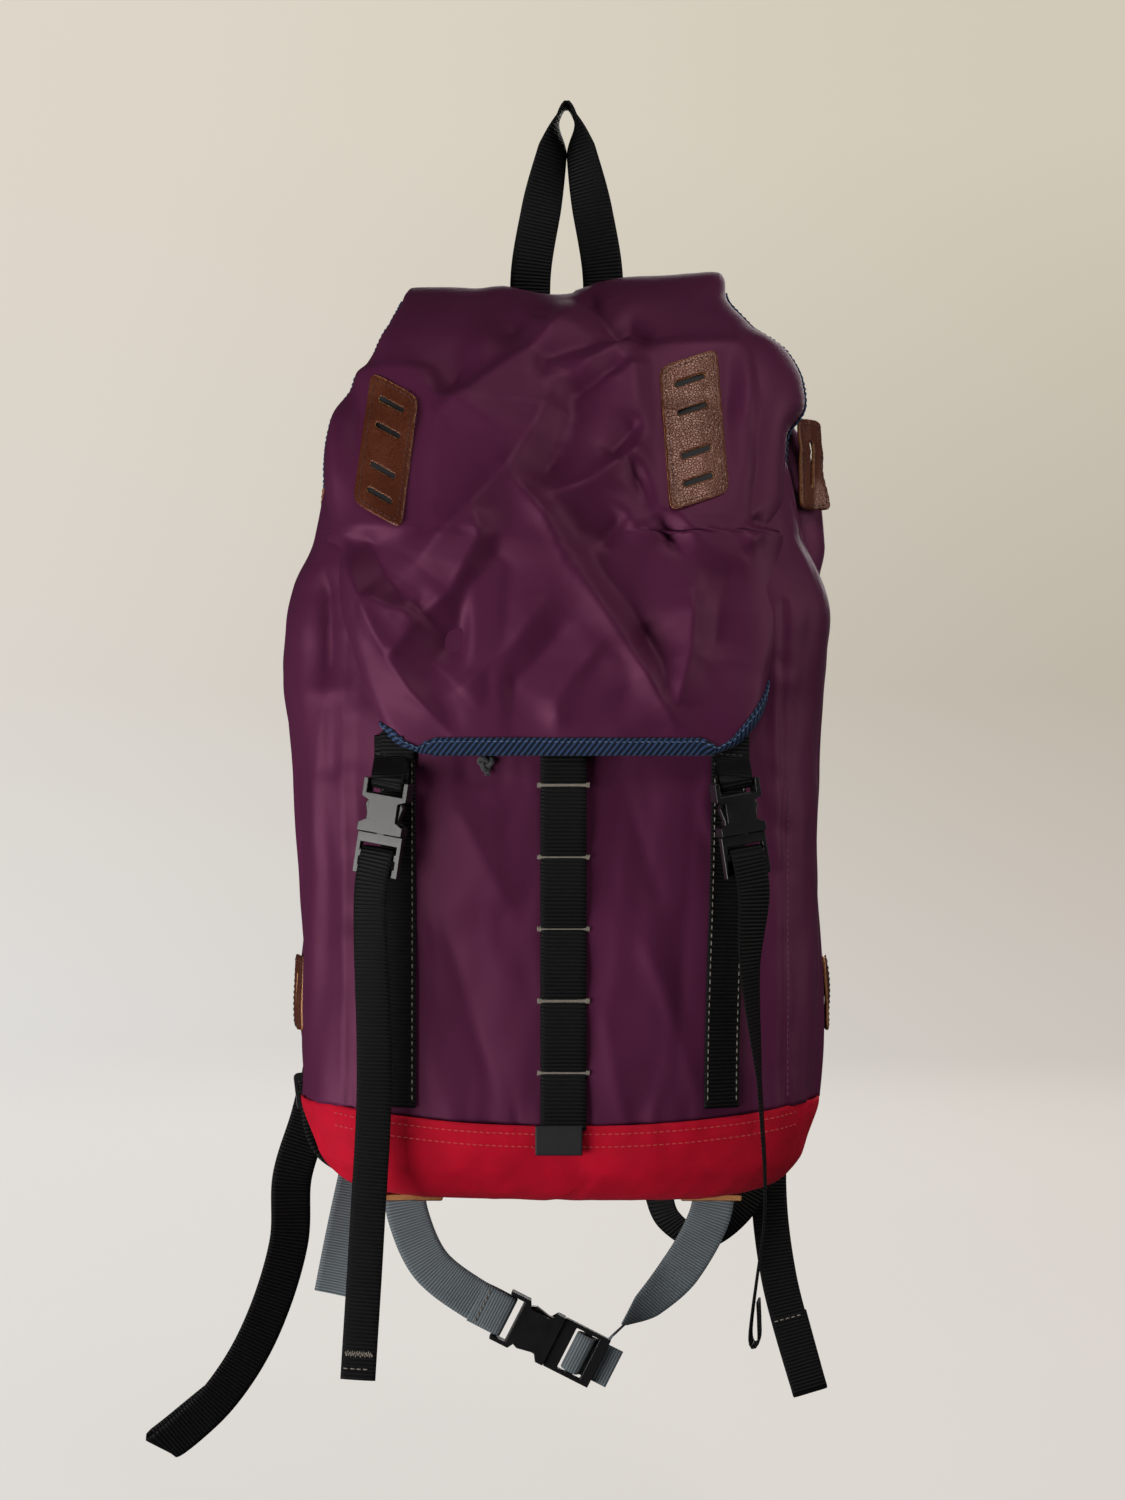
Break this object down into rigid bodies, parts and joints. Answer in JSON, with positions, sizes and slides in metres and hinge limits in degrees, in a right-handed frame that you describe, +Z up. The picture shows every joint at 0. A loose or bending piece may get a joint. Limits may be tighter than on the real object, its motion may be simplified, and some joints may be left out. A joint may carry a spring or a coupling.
{
  "type": "daypack",
  "caption": "Soft daypack with a buckled hood lid, drawstring mouth, leather lash patches, padded back and shoulder straps, and a buckled waist belt, hanging from its haul loop.",
  "frame": {"origin": "underside of the haul loop's top, where a hook bears", "axes": "+Z up, -Y out of the front of the pack, +X to the viewer's right"},
  "size_m": [0.4066, 0.2411, 0.8112],
  "materials": {
    "plum_nylon": "soft sheen",
    "red_cordura": "matte twill",
    "navy_tape": "twill tape",
    "brown_leather": "waxed, tan cut edges",
    "black_webbing": "ribbed weave",
    "slate_webbing": "ribbed weave",
    "buckle_plastic": "moulded, slight gloss",
    "grey_thread": "dense stitching",
    "grey_lining": "thin coated nylon",
    "black_padding": "padded mesh and cloth",
    "grey_cord": "braided"
  },
  "bodies": {
    "pack": {"front_panel": "plum_nylon", "side_panel_left": "plum_nylon", "side_panel_right": "plum_nylon", "rear_panel": "plum_nylon", "yoke": "plum_nylon", "base_panel": "red_cordura", "collar": "grey_lining", "back_pad": "black_padding", "daisy_chain": "black_webbing", "label_tab": "black_webbing", "front_strip_left": "black_webbing", "front_strip_right": "black_webbing", "haul_loop": "black_webbing", "shoulder_anchor_left": "black_webbing", "shoulder_anchor_right": "black_webbing", "bar_tack_1": "grey_thread", "bar_tack_2": "grey_thread", "bar_tack_3": "grey_thread", "bar_tack_4": "grey_thread", "bar_tack_5": "grey_thread", "side_patch_upper_left": "brown_leather", "side_patch_upper_right": "brown_leather", "side_patch_lower_left": "brown_leather", "side_patch_lower_right": "brown_leather", "base_pad_left": "brown_leather", "base_pad_right": "brown_leather", "drawcord": "grey_cord", "drawcord_knot": "grey_cord", "cord_lock_barrel": "buckle_plastic"},
    "lid": {"lid_panel": "plum_nylon", "lid_binding": "navy_tape", "lid_patch_left": "brown_leather", "lid_patch_right": "brown_leather", "lid_strap_left": "black_webbing", "lid_strap_right": "black_webbing"},
    "left_socket": {"left_buckle_socket": "buckle_plastic"},
    "left_plug": {"left_buckle_plug": "buckle_plastic"},
    "left_prong_a": {"left_buckle_prong_a": "buckle_plastic"},
    "left_prong_b": {"left_buckle_prong_b": "buckle_plastic"},
    "left_tail": {"strap_tail_left": "black_webbing"},
    "shoulder_left": {"shoulder_strap_left": "black_padding"},
    "ladder_left": {"ladder_lock_left": "buckle_plastic", "shoulder_tail_left": "black_webbing"},
    "right_socket": {"right_buckle_socket": "buckle_plastic"},
    "right_plug": {"right_buckle_plug": "buckle_plastic"},
    "right_prong_a": {"right_buckle_prong_a": "buckle_plastic"},
    "right_prong_b": {"right_buckle_prong_b": "buckle_plastic"},
    "right_tail": {"strap_tail_right": "black_webbing"},
    "shoulder_right": {"shoulder_strap_right": "black_padding"},
    "ladder_right": {"ladder_lock_right": "buckle_plastic", "shoulder_tail_right": "black_webbing"},
    "belt_left": {"belt_band_left": "slate_webbing", "belt_buckle_socket": "buckle_plastic"},
    "belt_plug": {"belt_buckle_plug": "buckle_plastic", "belt_tail_right": "slate_webbing"},
    "belt_prong_a": {"belt_buckle_prong_a": "buckle_plastic"},
    "belt_prong_b": {"belt_buckle_prong_b": "buckle_plastic"},
    "belt_right": {"belt_band_right": "slate_webbing"},
    "belt_loose": {"belt_tail_left": "slate_webbing"},
    "cord_button": {"cord_lock_button": "buckle_plastic"}
  },
  "joints": [
    {"name": "lid_hinge", "type": "hinge", "parent": "pack", "child": "lid", "pos_m": [0, -0.01, -0.105], "axis": [-1, 0, 0], "range_deg": [0, 95]},
    {"name": "left_buckle_swing", "type": "hinge", "parent": "lid", "child": "left_socket", "pos_m": [-0.09585, -0.16783, -0.39991], "axis": [-0.9274, 0.3385, 0.1593], "range_deg": [0, 25]},
    {"name": "left_buckle_release", "type": "slide", "parent": "left_socket", "child": "left_plug", "axis": [-0.1497, 0.0546, -0.9872], "range_m": [0, 0.03]},
    {"name": "left_prong_a_press", "type": "hinge", "parent": "left_plug", "child": "left_prong_a", "pos_m": [-0.10819, -0.16333, -0.42545], "axis": [0.3429, 0.9394, 0], "range_deg": [0, 8], "stiffness_Nm_per_rad": 0.05},
    {"name": "left_prong_b_press", "type": "hinge", "parent": "left_plug", "child": "left_prong_b", "pos_m": [-0.09168, -0.16935, -0.42828], "axis": [-0.3429, -0.9394, 0], "range_deg": [0, 8], "stiffness_Nm_per_rad": 0.05},
    {"name": "left_tail_swing", "type": "hinge", "parent": "left_plug", "child": "left_tail", "pos_m": [-0.10174, -0.16568, -0.43881], "axis": [-0.9274, 0.3385, 0.1593], "range_deg": [0, 60]},
    {"name": "right_buckle_swing", "type": "hinge", "parent": "lid", "child": "right_socket", "pos_m": [0.08985, -0.17083, -0.39991], "axis": [-0.9274, -0.3385, -0.1593], "range_deg": [0, 25]},
    {"name": "right_buckle_release", "type": "slide", "parent": "right_socket", "child": "right_plug", "axis": [0.1497, 0.0546, -0.9872], "range_m": [0, 0.03]},
    {"name": "right_prong_a_press", "type": "hinge", "parent": "right_plug", "child": "right_prong_a", "pos_m": [0.08568, -0.17235, -0.42828], "axis": [-0.3429, 0.9394, 0], "range_deg": [0, 8], "stiffness_Nm_per_rad": 0.05},
    {"name": "right_prong_b_press", "type": "hinge", "parent": "right_plug", "child": "right_prong_b", "pos_m": [0.10219, -0.16633, -0.42545], "axis": [0.3429, -0.9394, 0], "range_deg": [0, 8], "stiffness_Nm_per_rad": 0.05},
    {"name": "right_tail_swing", "type": "hinge", "parent": "right_plug", "child": "right_tail", "pos_m": [0.09574, -0.16868, -0.43881], "axis": [-0.9274, -0.3385, -0.1593], "range_deg": [0, 60]},
    {"name": "belt_left_swing", "type": "hinge", "parent": "pack", "child": "belt_left", "pos_m": [-0.096, -0.026, -0.633], "axis": [-1, 0, 0], "range_deg": [-8, 60]},
    {"name": "belt_buckle_release", "type": "slide", "parent": "belt_left", "child": "belt_plug", "axis": [0.8912, 0, -0.4536], "range_m": [0, 0.035]},
    {"name": "belt_prong_a_press", "type": "hinge", "parent": "belt_plug", "child": "belt_prong_a", "pos_m": [-0.01259, -0.026, -0.73848], "axis": [0, 1, 0], "range_deg": [0, 8], "stiffness_Nm_per_rad": 0.05},
    {"name": "belt_prong_b_press", "type": "hinge", "parent": "belt_plug", "child": "belt_prong_b", "pos_m": [-0.00224, -0.026, -0.71816], "axis": [0, -1, 0], "range_deg": [0, 8], "stiffness_Nm_per_rad": 0.05},
    {"name": "belt_right_swing", "type": "hinge", "parent": "pack", "child": "belt_right", "pos_m": [0.087, -0.024, -0.633], "axis": [-1, 0, 0], "range_deg": [-8, 60]},
    {"name": "belt_loose_end_swing", "type": "hinge", "parent": "pack", "child": "belt_loose", "pos_m": [-0.122, -0.016, -0.633], "axis": [-1, 0, 0], "range_deg": [0, 60]},
    {"name": "shoulder_strap_left_swing", "type": "hinge", "parent": "pack", "child": "shoulder_left", "pos_m": [-0.044, 0.022, -0.134], "axis": [1, 0, 0], "range_deg": [0, 50]},
    {"name": "shoulder_strap_right_swing", "type": "hinge", "parent": "pack", "child": "shoulder_right", "pos_m": [0.044, 0.022, -0.134], "axis": [1, 0, 0], "range_deg": [0, 50]},
    {"name": "ladder_lock_left_tilt", "type": "hinge", "parent": "shoulder_left", "child": "ladder_left", "pos_m": [-0.147, 0.022, -0.577], "axis": [1, 0, 0], "range_deg": [-10, 40]},
    {"name": "ladder_lock_right_tilt", "type": "hinge", "parent": "shoulder_right", "child": "ladder_right", "pos_m": [0.127, 0.022, -0.577], "axis": [1, 0, 0], "range_deg": [-10, 40]},
    {"name": "cord_lock_press", "type": "slide", "parent": "pack", "child": "cord_button", "axis": [0, 0, -1], "range_m": [0, 0.002], "stiffness_N_per_m": 400}
  ],
  "couplings": [
    {"joint": "left_prong_b_press", "follows": "left_prong_a_press", "ratio": 1},
    {"joint": "right_prong_b_press", "follows": "right_prong_a_press", "ratio": 1},
    {"joint": "belt_prong_b_press", "follows": "belt_prong_a_press", "ratio": 1}
  ]
}
